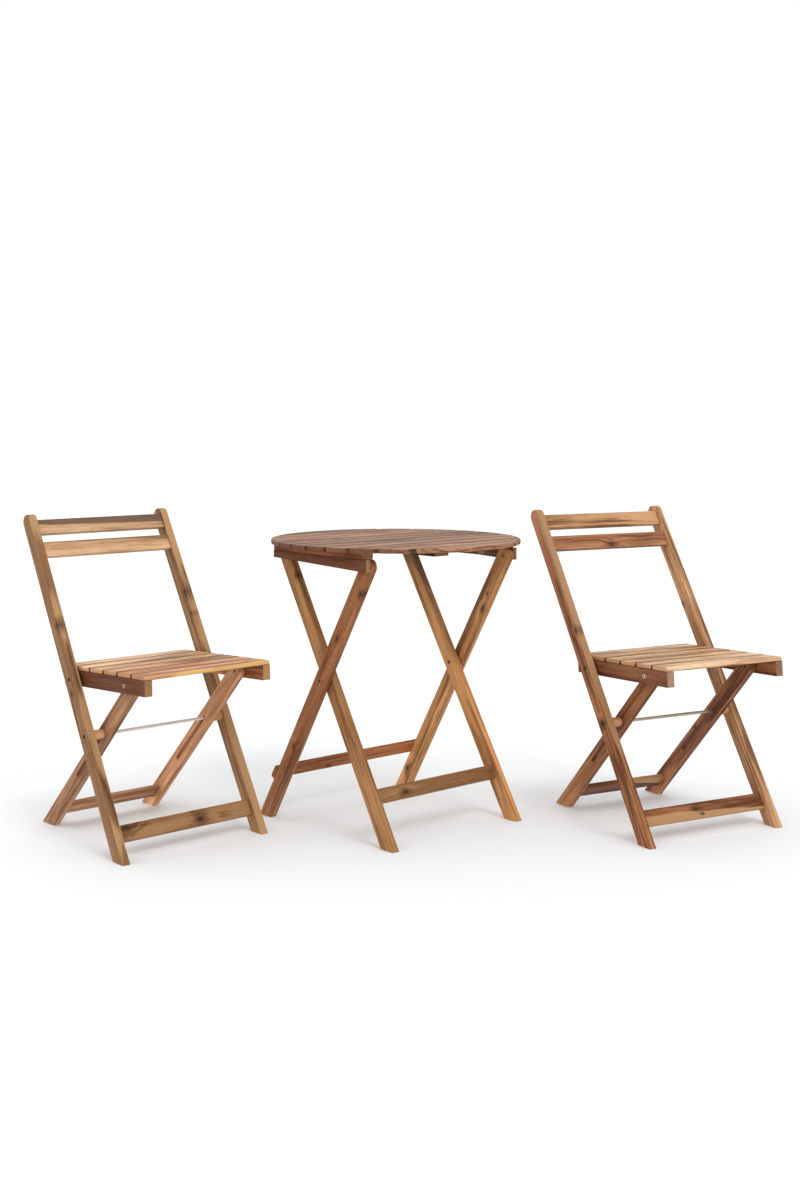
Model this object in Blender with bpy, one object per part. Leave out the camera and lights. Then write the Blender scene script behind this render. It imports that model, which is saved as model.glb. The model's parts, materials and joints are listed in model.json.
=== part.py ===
"""Patio dining set: one round folding table and two folding slatted chairs, in oiled acacia.

Blender 4.5, metres, +Z up. The set's front faces -Y. The table stands in the middle, with
one chair on each side of it, and the origin is on the floor under the middle of the set's
box. Run it with: blender --background --python part.py

Every wooden piece is a straight bar, so each one is an outline pushed along one axis:
outlines in the YZ plane run along X, and the tabletop's slats, drawn from above, run along Z.
Bores, slots and pins are Boolean modifiers, whose tools don't render.
"""
import bpy
from math import asin, cos, hypot, pi, radians, sin, tan

GAP = 0.0003              # left between pieces that touch on the real set
ARC_STEP = radians(15)       # round ends are drawn in steps of this angle
TOP_ARC_STEP = radians(3)    # and the tabletop's rim in steps of this one
BORE_SIDES = 20
PIN_RADIUS = 0.004
PIN_PLAY = 0.0003         # radial, so that a faceted pin can turn in a faceted bore
PIN_RECESS = 0.005        # a pin ends this deep in its bore, under the plug hole

# Table, in its own frame: the origin is on the floor under the middle of the top
TOP_RADIUS = 0.3425
TABLE_HEIGHT = 0.752
TOP_SLATS = 11
TOP_SLAT_GAP = 0.006
TOP_SLAT_THICK = 0.012
BATTEN_FRONT = -0.184
BATTEN_REAR = 0.192
SIDE_BATTEN_WIDTH = 0.034
SIDE_BATTEN_THICK = 0.0165
CENTRE_BATTEN_WIDTH = 0.052
CENTRE_BATTEN_THICK = 0.0245
RAIL_OUTER_FACE = 0.2745
RAIL_THICK = 0.0142
RAIL_FRONT_HEIGHT = 0.0325
RAIL_REAR_HEIGHT = 0.019
RAIL_FRONT = -0.1955
TABLE_LEG_LEAN = radians(31.1)
CROSSING_Y = 0.0097
CROSSING_Z = 0.392
OUTER_LEG_FACE = 0.260
OUTER_LEG_THICK = 0.021
OUTER_LEG_DEPTH = 0.0407
INNER_LEG_FACE = 0.2325
INNER_LEG_THICK = 0.022
INNER_LEG_DEPTH = 0.0383
TOP_PIVOT_Z = 0.702
OUTER_BAR_DROP = 0.3126   # from the crossing down the leg to the crossbar's top edge
OUTER_BAR_HEIGHT = 0.034
OUTER_BAR_THICK = 0.014
INNER_BAR_DROP = 0.3046
INNER_BAR_HEIGHT = 0.036
INNER_BAR_THICK = 0.016

# Chair, in its own frame: the origin is on the floor midway between the front and rear feet
FOOT_SPREAD = 0.442
POST_LEAN = radians(31.2)
POST_LENGTH = 0.955
POST_FACE = 0.220
POST_THICK = 0.021
POST_DEPTH = 0.0393
SEAT_PIVOT_Z = 0.4095
SEAT_TILT = radians(2.55)
PIVOT_SPAN = 0.2192       # from the rear seat pivot to the front one, along the seat
REAR_LEG_FACE = 0.1655
REAR_LEG_THICK = 0.020
REAR_LEG_DEPTH = 0.0394
SEAT_RAIL_FACE = 0.191
SEAT_RAIL_THICK = 0.022
SEAT_RAIL_BELOW = 0.0187  # under the line through the seat's pivots
SEAT_RAIL_ABOVE = 0.0199
SEAT_RAIL_REAR = -0.071   # along the seat, from the rear pivot towards the front
SEAT_FRONT = 0.3148
SEAT_SLATS = 6
SEAT_SLAT_REAR = -0.0778
SEAT_SLAT_GAP = 0.006
SEAT_SLAT_THICK = 0.011
BULLNOSE = 0.008
BACK_SLAT_TOPS = (0.933, 0.8655)  # up the post from the floor
BACK_SLAT_HEIGHT = 0.0435
BACK_SLAT_FRONT = 0.0155  # in front of the post's centre line
BOARD_THICK = 0.012       # back slats and stretchers
FRONT_BAR_LOW = 0.0475
REAR_BAR_LOW = 0.0438
STRETCHER_HEIGHT = 0.0415
ROD_RADIUS = 0.004
SLOT_WIDTH = 0.0115
SPACER_RADIUS = 0.0125
SPACER_PLAY = 0.0005

# Where the chairs stand, in the table's frame: x, y and the turn about Z
CHAIRS = {
    "left_chair": (-0.579, 0.343, radians(0.2)),
    "right_chair": (0.546, -0.4615, radians(-13.1)),
}

WOODS = {
    "acacia_tan": (0.42, 0.26, 0.13),
    "acacia_red_brown": (0.27, 0.13, 0.07),
    "acacia_grey_brown": (0.40, 0.28, 0.20),
    "acacia_olive": (0.28, 0.19, 0.10),
    "pale_dowel": (0.62, 0.42, 0.26),
}


def clear_scene():
    for obj in list(bpy.data.objects):
        bpy.data.objects.remove(obj, do_unlink=True)


def make_materials():
    """One Principled material for each wood tone, and one for the rod's metal."""
    made = {}
    for name, colour in WOODS.items():
        made[name] = principled(name, colour, roughness=0.55, metallic=0.0)
    made["rod_metal"] = principled("rod_metal", (0.62, 0.52, 0.38), roughness=0.3, metallic=1.0)
    return made


def principled(name, colour, roughness, metallic):
    mat = bpy.data.materials.new(name)
    mat.use_nodes = True
    shader = mat.node_tree.nodes["Principled BSDF"]
    shader.inputs["Base Color"].default_value = (*colour, 1.0)
    shader.inputs["Roughness"].default_value = roughness
    shader.inputs["Metallic"].default_value = metallic
    mat.diffuse_color = (*colour, 1.0)
    return mat


# Outlines: lists of (y, z), or of (x, y) for the tabletop, anticlockwise or clockwise

def along(start, lean, distance, offset=0.0):
    """The point that is distance up a line leaning back by lean, and offset to its front."""
    y, z = start
    up_y, up_z = sin(lean), cos(lean)
    return (y + up_y * distance - up_z * offset, z + up_z * distance + up_y * offset)


def arc(centre, radius, first, last, step=ARC_STEP):
    """Points on a circle from angle first to angle last, both included."""
    steps = max(2, round(abs(last - first) / step))
    turn = (last - first) / steps
    return [
        (centre[0] + radius * cos(first + turn * i), centre[1] + radius * sin(first + turn * i))
        for i in range(steps + 1)
    ]


def leg_outline(foot_y, lean, depth, top_centre):
    """A leg cut flat on the floor, with a half-round top about top_centre."""
    half = depth / 2
    reach = half / cos(lean)
    front_foot = (foot_y - reach, 0.0)
    rear_foot = (foot_y + reach, 0.0)
    front_angle = pi - lean
    return [rear_foot, front_foot] + arc(top_centre, half, front_angle, front_angle - pi)


def board_outline(start, lean, low, high, front, rear):
    """A rectangle from low to high up a leaning line, between two offsets to its front."""
    return [
        along(start, lean, low, front),
        along(start, lean, high, front),
        along(start, lean, high, rear),
        along(start, lean, low, rear),
    ]


def slat_plan(low, high):
    """One tabletop slat seen from above: a strip of the round top between two y values."""
    first = asin(max(-1.0, low / TOP_RADIUS))
    last = asin(min(1.0, high / TOP_RADIUS))
    right = arc((0.0, 0.0), TOP_RADIUS, first, last, TOP_ARC_STEP)
    left = [(-x, y) for x, y in reversed(right)]
    points = []
    for point in right + left:
        if not points or hypot(point[0] - points[-1][0], point[1] - points[-1][1]) > 1e-5:
            points.append(point)
    if hypot(points[0][0] - points[-1][0], points[0][1] - points[-1][1]) < 1e-5:
        points.pop()
    return points


# Solids

def solid(name, outline, low, high, axis="X"):
    """Push an outline along X, or along Z for an outline seen from above."""
    if axis == "X":
        verts = [(low, a, b) for a, b in outline] + [(high, a, b) for a, b in outline]
    else:
        verts = [(a, b, low) for a, b in outline] + [(a, b, high) for a, b in outline]
    count = len(outline)
    faces = [tuple(range(count)), tuple(reversed(range(count, 2 * count)))]
    for i in range(count):
        j = (i + 1) % count
        faces.append((i, i + count, j + count, j))
    mesh = bpy.data.meshes.new(name)
    mesh.from_pydata(verts, [], faces)
    mesh.update()
    obj = bpy.data.objects.new(name, mesh)
    bpy.context.scene.collection.objects.link(obj)
    face_outwards(mesh)
    return obj


def face_outwards(mesh):
    """Turn the faces round if the outline was drawn the other way."""
    volume = 0.0
    mesh.calc_loop_triangles()
    for tri in mesh.loop_triangles:
        a, b, c = (mesh.vertices[i].co for i in tri.vertices)
        volume += a.dot(b.cross(c))
    if volume < 0:
        mesh.flip_normals()


def cylinder(name, centre, radius, low, high):
    """A cylinder along X about centre, which is (y, z)."""
    ring = [
        (centre[0] + radius * cos(2 * pi * i / BORE_SIDES),
         centre[1] + radius * sin(2 * pi * i / BORE_SIDES))
        for i in range(BORE_SIDES)
    ]
    return solid(name, ring, low, high)


def shape_with(obj, tool, operation):
    """Cut obj with tool, or join tool to it. The tool moves with obj and doesn't render."""
    tool.parent = obj
    tool.hide_render = True
    tool.display_type = "WIRE"
    boolean = obj.modifiers.new(tool.name, "BOOLEAN")
    boolean.operation = operation
    boolean.object = tool
    boolean.solver = "EXACT"


def drill(obj, centre, x):
    """A pivot bore right through a piece that is about x from the middle."""
    tool = cylinder(f"{obj.name}_bore", centre, PIN_RADIUS + PIN_PLAY, x - 0.03, x + 0.03)
    shape_with(obj, tool, "DIFFERENCE")


def add_pin(obj, centre, start, end):
    """A pivot pin fixed in a piece: from start, inside the piece, to end, outside it."""
    tool = cylinder(f"{obj.name}_pin", centre, PIN_RADIUS, min(start, end), max(start, end))
    shape_with(obj, tool, "UNION")


class Body:
    """Pieces that move together, under an empty that stands on their joint's axis."""

    def __init__(self, name, pivot, parent=None):
        self.pivot = pivot
        self.empty = bpy.data.objects.new(name, None)
        bpy.context.scene.collection.objects.link(self.empty)
        base = (0.0, 0.0)
        if parent is not None:
            self.empty.parent = parent.empty
            base = parent.pivot
        self.empty.location = (0.0, pivot[0] - base[0], pivot[1] - base[1])

    def take(self, obj, material):
        """Hang a piece, drawn in the furniture's own frame, on this body's empty."""
        obj.parent = self.empty
        obj.location = (0.0, -self.pivot[0], -self.pivot[1])
        obj.data.materials.append(material)
        return obj


SIDES = (("left", -1), ("right", 1))


# Table

def table_points():
    """Where the table's pivots and feet are, as (y, z)."""
    crossing = (CROSSING_Y, CROSSING_Z)
    rise = TOP_PIVOT_Z - CROSSING_Z
    return {
        "crossing": crossing,
        "top_pivot": (CROSSING_Y - rise * tan(TABLE_LEG_LEAN), TOP_PIVOT_Z),
        "outer_foot": CROSSING_Y + CROSSING_Z * tan(TABLE_LEG_LEAN),
        "inner_foot": CROSSING_Y - CROSSING_Z * tan(TABLE_LEG_LEAN),
    }


def build_table(mats):
    points = table_points()
    frame = Body("table_outer_frame", (0.0, 0.0))
    top = Body("tabletop", points["top_pivot"], frame)
    inner = Body("table_inner_frame", points["crossing"], frame)
    build_outer_frame(frame, points, mats)
    build_inner_frame(inner, points, mats)
    build_tabletop(top, points, mats)
    return frame


def build_outer_frame(body, points, mats):
    lean = -TABLE_LEG_LEAN
    outline = leg_outline(points["outer_foot"], lean, OUTER_LEG_DEPTH, points["top_pivot"])
    inside = OUTER_LEG_FACE - OUTER_LEG_THICK
    for side, sign in SIDES:
        leg = solid(f"table_outer_leg_{side}", outline, sign * OUTER_LEG_FACE, sign * inside)
        face_outwards(leg.data)
        drill(leg, points["top_pivot"], sign * OUTER_LEG_FACE)
        pin_end = INNER_LEG_FACE - INNER_LEG_THICK + PIN_RECESS
        add_pin(leg, points["crossing"], sign * (inside + PIN_RECESS), sign * pin_end)
        body.take(leg, mats["acacia_red_brown"])
    rear = -(OUTER_LEG_DEPTH / 2 + GAP)
    bar = board_outline(points["crossing"], lean, -OUTER_BAR_DROP - OUTER_BAR_HEIGHT,
                        -OUTER_BAR_DROP, rear, rear - OUTER_BAR_THICK)
    crossbar = solid("table_outer_crossbar", bar, -OUTER_LEG_FACE, OUTER_LEG_FACE)
    body.take(crossbar, mats["acacia_red_brown"])


def build_inner_frame(body, points, mats):
    lean = TABLE_LEG_LEAN
    half = INNER_LEG_DEPTH / 2
    top_z = TABLE_HEIGHT - TOP_SLAT_THICK - GAP - half
    top_centre = (CROSSING_Y + (top_z - CROSSING_Z) * tan(lean), top_z)
    outline = leg_outline(points["inner_foot"], lean, INNER_LEG_DEPTH, top_centre)
    inside = INNER_LEG_FACE - INNER_LEG_THICK
    for side, sign in SIDES:
        leg = solid(f"table_inner_leg_{side}", outline, sign * INNER_LEG_FACE, sign * inside)
        drill(leg, points["crossing"], sign * inside)
        body.take(leg, mats["acacia_tan"])
    bar = board_outline(points["crossing"], lean, -INNER_BAR_DROP - INNER_BAR_HEIGHT,
                        -INNER_BAR_DROP, INNER_BAR_THICK / 2, -INNER_BAR_THICK / 2)
    crossbar = solid("table_inner_crossbar", bar, -inside + GAP, inside - GAP)
    body.take(crossbar, mats["acacia_olive"])


def build_tabletop(body, points, mats):
    under_slats = TABLE_HEIGHT - TOP_SLAT_THICK
    slat_width = (2 * TOP_RADIUS - (TOP_SLATS - 1) * TOP_SLAT_GAP) / TOP_SLATS
    for i in range(TOP_SLATS):
        low = -TOP_RADIUS + i * (slat_width + TOP_SLAT_GAP)
        plan = slat_plan(low, low + slat_width)
        slat = solid(f"table_top_slat_{i + 1:02d}", plan, under_slats, TABLE_HEIGHT, axis="Z")
        body.take(slat, mats["acacia_grey_brown"])
    batten_top = under_slats - GAP
    for side, sign in SIDES:
        batten_low = batten_top - SIDE_BATTEN_THICK
        batten = solid(f"table_batten_{side}", box(BATTEN_FRONT, BATTEN_REAR, batten_low, batten_top),
                       sign * RAIL_OUTER_FACE, sign * (RAIL_OUTER_FACE - SIDE_BATTEN_WIDTH))
        body.take(batten, mats["acacia_olive"])
        rail_top = batten_low - GAP
        rail_inside = RAIL_OUTER_FACE - RAIL_THICK
        outline = [(RAIL_FRONT, rail_top - RAIL_FRONT_HEIGHT),
                   (BATTEN_REAR, rail_top - RAIL_REAR_HEIGHT),
                   (BATTEN_REAR, rail_top),
                   (RAIL_FRONT, rail_top)]
        rail = solid(f"table_rail_{side}", outline, sign * RAIL_OUTER_FACE, sign * rail_inside)
        pin_end = OUTER_LEG_FACE - OUTER_LEG_THICK + PIN_RECESS
        add_pin(rail, points["top_pivot"], sign * (rail_inside + PIN_RECESS), sign * pin_end)
        body.take(rail, mats["acacia_red_brown"])
    centre = solid("table_batten_centre",
                   box(BATTEN_FRONT, BATTEN_REAR, batten_top - CENTRE_BATTEN_THICK, batten_top),
                   -CENTRE_BATTEN_WIDTH / 2, CENTRE_BATTEN_WIDTH / 2)
    body.take(centre, mats["acacia_tan"])


def box(front, rear, low, high):
    return [(front, low), (rear, low), (rear, high), (front, high)]


# Chairs

def chair_points():
    """Where a chair's pivots and feet are, as (y, z) in the chair's own frame."""
    post_foot = -FOOT_SPREAD / 2
    rear_foot = FOOT_SPREAD / 2
    seat_pivot = (post_foot + SEAT_PIVOT_Z * tan(POST_LEAN), SEAT_PIVOT_Z)
    leg_pivot = on_seat(seat_pivot, PIVOT_SPAN, 0.0)
    leg_slope = (rear_foot - leg_pivot[0]) / leg_pivot[1]
    rod_z = FOOT_SPREAD / (tan(POST_LEAN) + leg_slope)
    return {
        "post_foot": post_foot,
        "rear_foot": rear_foot,
        "seat_pivot": seat_pivot,
        "leg_pivot": leg_pivot,
        "rod": (post_foot + rod_z * tan(POST_LEAN), rod_z),
    }


def on_seat(seat_pivot, forward, up):
    """A point of the tilted seat, from the rear pivot: forward along it and up from it."""
    y, z = seat_pivot
    return (y - forward * cos(SEAT_TILT) + up * sin(SEAT_TILT),
            z + forward * sin(SEAT_TILT) + up * cos(SEAT_TILT))


def build_chair(name, place, mats):
    x, y, turn = place
    points = chair_points()
    frame = Body(f"{name}_frame", (0.0, 0.0))
    frame.empty.location = (x, y, 0.0)
    frame.empty.rotation_euler = (0.0, 0.0, turn)
    seat = Body(f"{name}_seat", points["seat_pivot"], frame)
    legs = Body(f"{name}_rear_legs", points["leg_pivot"], seat)
    build_posts(name, frame, points, mats)
    build_crossing_rod(name, frame, points, mats)
    build_seat(name, seat, points, mats)
    build_rear_legs(name, legs, points, mats)
    return frame


def build_posts(name, body, points, mats):
    start = (points["post_foot"], 0.0)
    outline = leg_outline(points["post_foot"], POST_LEAN, POST_DEPTH,
                          along(start, POST_LEAN, POST_LENGTH - POST_DEPTH / 2))
    inside = POST_FACE - POST_THICK
    for side, sign in SIDES:
        post = solid(f"{name}_post_{side}", outline, sign * POST_FACE, sign * inside)
        drill(post, points["seat_pivot"], sign * POST_FACE)
        drill(post, points["rod"], sign * POST_FACE)
        body.take(post, mats["acacia_tan"])
    for word, high in zip(("top", "lower"), BACK_SLAT_TOPS):
        board = board_outline(start, POST_LEAN, high - BACK_SLAT_HEIGHT, high,
                              BACK_SLAT_FRONT, BACK_SLAT_FRONT - BOARD_THICK)
        slat = solid(f"{name}_back_slat_{word}", board, -inside + GAP, inside - GAP)
        body.take(slat, mats["acacia_tan"])
    board = board_outline(start, POST_LEAN, FRONT_BAR_LOW, FRONT_BAR_LOW + STRETCHER_HEIGHT,
                          BOARD_THICK / 2, -BOARD_THICK / 2)
    stretcher = solid(f"{name}_front_stretcher", board, -inside + GAP, inside - GAP)
    body.take(stretcher, mats["acacia_tan"])


def build_crossing_rod(name, body, points, mats):
    """The rod that rides in the rear legs' slots, and a spacer with its bolt at each end.

    The rod stops at the rear legs' inner faces and the spacers at their outer faces, so the
    slots stay empty. That is the clearance of the chair's opened pivot.
    """
    rod_end = REAR_LEG_FACE - REAR_LEG_THICK - SPACER_PLAY
    rod = cylinder(f"{name}_crossing_rod", points["rod"], ROD_RADIUS, -rod_end, rod_end)
    body.take(rod, mats["rod_metal"])
    post_inside = POST_FACE - POST_THICK - GAP
    for side, sign in SIDES:
        inner_end = sign * (REAR_LEG_FACE + SPACER_PLAY)
        spacer = cylinder(f"{name}_spacer_{side}", points["rod"], SPACER_RADIUS,
                          min(inner_end, sign * post_inside), max(inner_end, sign * post_inside))
        add_pin(spacer, points["rod"], sign * (post_inside - PIN_RECESS),
                sign * (POST_FACE - PIN_RECESS))
        body.take(spacer, mats["pale_dowel"])


def build_seat(name, body, points, mats):
    pivot = points["seat_pivot"]
    rail_outline = seat_board(pivot, SEAT_RAIL_REAR, SEAT_FRONT, -SEAT_RAIL_BELOW, SEAT_RAIL_ABOVE)
    inside = SEAT_RAIL_FACE - SEAT_RAIL_THICK
    for side, sign in SIDES:
        rail = solid(f"{name}_seat_rail_{side}", rail_outline, sign * SEAT_RAIL_FACE, sign * inside)
        rear_pin = cylinder(f"{rail.name}_rear_pin", pivot, PIN_RADIUS,
                            *sorted((sign * (inside + PIN_RECESS), sign * (POST_FACE - PIN_RECESS))))
        shape_with(rail, rear_pin, "UNION")
        pin_end = REAR_LEG_FACE - REAR_LEG_THICK + PIN_RECESS
        add_pin(rail, points["leg_pivot"], sign * (inside + PIN_RECESS), sign * pin_end)
        body.take(rail, mats["acacia_red_brown"])
    low = SEAT_RAIL_ABOVE + GAP
    high = low + SEAT_SLAT_THICK
    depth = SEAT_FRONT - SEAT_SLAT_REAR
    width = (depth - (SEAT_SLATS - 1) * SEAT_SLAT_GAP) / SEAT_SLATS
    for i in range(SEAT_SLATS):
        front = SEAT_FRONT - i * (width + SEAT_SLAT_GAP)
        outline = seat_board(pivot, front - width, front, low, high)
        if i == 0:
            outline = bullnosed(pivot, front - width, front, low, high)
        slat = solid(f"{name}_seat_slat_{i + 1}", outline, -SEAT_RAIL_FACE, SEAT_RAIL_FACE)
        body.take(slat, mats["acacia_tan"])


def seat_board(pivot, rear, front, low, high):
    return [on_seat(pivot, rear, low), on_seat(pivot, front, low),
            on_seat(pivot, front, high), on_seat(pivot, rear, high)]


def bullnosed(pivot, rear, front, low, high):
    """The front seat slat, with its front top edge rounded."""
    nose = arc((front - BULLNOSE, high - BULLNOSE), BULLNOSE, 0.0, pi / 2)
    return ([on_seat(pivot, rear, low), on_seat(pivot, front, low)]
            + [on_seat(pivot, forward, up) for forward, up in nose]
            + [on_seat(pivot, rear, high)])


def build_rear_legs(name, body, points, mats):
    pivot = points["leg_pivot"]
    lean = -angle_down(pivot, (points["rear_foot"], 0.0))
    outline = leg_outline(points["rear_foot"], lean, REAR_LEG_DEPTH, pivot)
    inside = REAR_LEG_FACE - REAR_LEG_THICK
    for side, sign in SIDES:
        leg = solid(f"{name}_rear_leg_{side}", outline, sign * REAR_LEG_FACE, sign * inside)
        drill(leg, pivot, sign * inside)
        cut_slot(leg, points, lean, sign * inside)
        body.take(leg, mats["acacia_red_brown"])
    start = (points["rear_foot"], 0.0)
    board = board_outline(start, lean, REAR_BAR_LOW, REAR_BAR_LOW + STRETCHER_HEIGHT,
                          BOARD_THICK / 2, -BOARD_THICK / 2)
    stretcher = solid(f"{name}_rear_stretcher", board, -inside + GAP, inside - GAP)
    body.take(stretcher, mats["acacia_tan"])


def angle_down(top, foot):
    """How far the line from top to foot leans from upright, with the foot to the rear."""
    run = foot[0] - top[0]
    drop = top[1] - foot[1]
    return asin(run / hypot(run, drop))


def cut_slot(leg, points, lean, x):
    """The slot that the rod slides down as the chair folds."""
    pivot = points["leg_pivot"]
    rod = points["rod"]
    open_at = hypot(rod[0] - pivot[0], rod[1] - pivot[1])
    seat_pivot = points["seat_pivot"]
    folded_at = PIVOT_SPAN + hypot(rod[0] - seat_pivot[0], rod[1] - seat_pivot[1])
    half = SLOT_WIDTH / 2
    top_end = along(pivot, lean, -open_at)
    low_end = along(pivot, lean, -folded_at)
    front_angle = pi - lean
    outline = (arc(top_end, half, front_angle, front_angle - pi)
               + arc(low_end, half, front_angle - pi, front_angle - 2 * pi))
    tool = solid(f"{leg.name}_slot", outline, x - 0.03, x + 0.03)
    shape_with(leg, tool, "DIFFERENCE")


def centre_set(standing):
    """Move what stands on the floor so that the middle of the set's box is over the origin."""
    bpy.context.view_layer.update()
    shown = [obj for obj in bpy.data.objects if obj.type == "MESH" and not obj.hide_render]
    points = [obj.matrix_world @ vertex.co for obj in shown for vertex in obj.data.vertices]
    for axis in (0, 1):
        values = [point[axis] for point in points]
        for body in standing:
            body.empty.location[axis] -= (min(values) + max(values)) / 2
    bpy.context.view_layer.update()


def report_joints():
    """Print where each body's joint axis is, for the record: a point on it and its direction."""
    for obj in bpy.context.scene.objects:
        if obj.type == "EMPTY":
            place = [round(v, 5) for v in obj.matrix_world.translation]
            axis = [round(v, 6) for v in obj.matrix_world.col[0][:3]]
            print("joint", obj.name, place, axis)


def main():
    clear_scene()
    mats = make_materials()
    standing = [build_table(mats)]
    for name, place in CHAIRS.items():
        standing.append(build_chair(name, place, mats))
    centre_set(standing)
    report_joints()


main()
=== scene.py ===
"""Looks of the patio dining set: oiled acacia, pale spacers, metal rods and bolts, in a white studio.

Every wooden piece is its own cut of one procedural wood. Its grain runs along the piece, and
its tone, sapwood and knots are set piece by piece in CUTS, where two table pieces also take
painted shade. Lengths are in metres.
"""
import json
from math import cos, pi, radians, sin

import bpy
import numpy as np
from mathutils import Matrix, Vector


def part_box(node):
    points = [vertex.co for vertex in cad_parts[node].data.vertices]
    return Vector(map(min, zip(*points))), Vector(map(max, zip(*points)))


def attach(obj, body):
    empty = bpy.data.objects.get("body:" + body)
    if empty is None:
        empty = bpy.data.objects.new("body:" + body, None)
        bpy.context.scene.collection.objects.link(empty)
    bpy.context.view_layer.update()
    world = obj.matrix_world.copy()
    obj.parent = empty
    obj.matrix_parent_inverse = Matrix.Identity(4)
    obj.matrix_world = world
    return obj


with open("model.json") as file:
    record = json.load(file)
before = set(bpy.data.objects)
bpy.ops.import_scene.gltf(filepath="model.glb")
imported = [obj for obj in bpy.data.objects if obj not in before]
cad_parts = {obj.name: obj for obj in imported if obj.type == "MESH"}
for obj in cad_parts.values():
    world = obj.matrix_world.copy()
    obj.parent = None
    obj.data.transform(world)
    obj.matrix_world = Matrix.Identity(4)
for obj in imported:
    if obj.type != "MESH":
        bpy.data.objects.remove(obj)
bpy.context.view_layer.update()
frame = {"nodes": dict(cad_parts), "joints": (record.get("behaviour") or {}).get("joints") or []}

NODES = frame["nodes"]
JOINTS = {joint["name"]: joint for joint in frame["joints"]}

# Camera: where it stands seen from the table's middle, and how it looks
VIEW_TURN = radians(-40.97)   # heading, from +Y
VIEW_AWAY = 4.2255
VIEW_ASIDE = 0.0489           # the table's middle lies this far to the right of the heading
VIEW_HEIGHT = 1.0966
VIEW_TILT = radians(4.23)     # upwards
VIEW_LENS = 45.63
VIEW_SHIFT = (0.0184, -0.25)

# Studio
FLOOR_HALF = 30.0
FLOOR_COLOUR = (0.850, 0.872, 0.878)
SKY_STRENGTH = 1.0
UNDER_STRENGTH = 0.82         # what the floor would send up, seen by the pieces only
HORIZON_BAND = (-0.30, -0.10)
# Each sun: strength, width, and where it shines from, seen from the camera: right, ahead, up
SUNS = {
    "key": (0.80, radians(26), (0.42, -0.62, 0.85)),
    "fill": (0.60, radians(70), (-1.0, -0.30, 0.30)),
}

# Edges of the boards
WELD_DISTANCE = 1e-5
FLAT_ANGLE = radians(0.6)
EDGE_ANGLE = radians(35)
BEVEL_STEPS = 3
# How far each kind of piece's edges are rounded, by a word in its name
EASED_EDGES = (("seat_slat", 0.0036), ("top_slat", 0.0026), ("spacer", 0.0015), ("post", 0.0022),
               ("leg", 0.0022), ("", 0.0015))

PIN_METAL_RADIUS = 0.0041     # faces nearer than this to a pivot's axis belong to its pin
BOLT_SIDES = 32

# Wood tones as linear colours, and what makes their dark and light streaks of them
TONES = {
    "straw": (0.62, 0.375, 0.205),
    "honey": (0.56, 0.305, 0.140),
    "blush": (0.53, 0.255, 0.120),
    "tan": (0.40, 0.202, 0.090),
    "amber": (0.41, 0.190, 0.067),
    "rose": (0.40, 0.170, 0.070),
    "olive": (0.31, 0.149, 0.059),
    "chestnut": (0.305, 0.117, 0.042),
    "grey_rose": (0.325, 0.158, 0.078),
    "russet": (0.28, 0.088, 0.026),
    "umber": (0.23, 0.085, 0.032),
    "moss": (0.215, 0.100, 0.036),
    "mahogany": (0.150, 0.046, 0.015),
}
DARKER = (0.43, 0.35, 0.29)
LIGHTER = (1.42, 1.56, 1.75)

# Colours of bands along an edge, and of end grain
SAP_STRAW = (0.72, 0.46, 0.16)
SAP_CREAM = (0.47, 0.270, 0.125)
SAP_TAN = (0.40, 0.220, 0.105)
SAP_HONEY = (0.46, 0.26, 0.115)
# Painted shade: a band that darkens the top of the table's inner right leg under the tabletop
PAINTED_SHADE_BROWN = (0.17, 0.080, 0.032)
SHADOW_PLUM = (0.110, 0.058, 0.040)
SHADOW_BROWN = (0.190, 0.095, 0.045)
DARK_END = (0.13, 0.058, 0.030)
RUST_END = (0.30, 0.14, 0.06)
DULL_END = (0.32, 0.19, 0.12)
TAN_END = (0.42, 0.230, 0.110)
PALE_END = (0.46, 0.255, 0.120)
GREY_END = (0.50, 0.34, 0.24)
CREAM_END = (0.55, 0.30, 0.14)

NO_BAND = (0.0, 1.0, 0.0)     # starts so far across that no piece reaches it
NO_KNOT = (9.0, 9.0, 0.001)   # lies outside every piece
KNOT_SLOTS = 3                # knots that one piece can have


def cut(tone, gain=1.0, knots=(), sap=None, band=NO_BAND, end=None, figure=1.0):
    """One piece's wood.

    A knot is its place along and across the piece from its middle, and its radius. The sap is the
    colour of a band along one edge, sapwood on most pieces and painted shade on the inner right
    table leg: band is its side, how far across it starts, and its slant.
    End is the colour of the end grain, and figure is how strong the streaks are.
    """
    return {"tone": tone, "gain": gain, "knots": knots, "sap": sap, "band": band, "end": end,
            "figure": figure}


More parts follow.
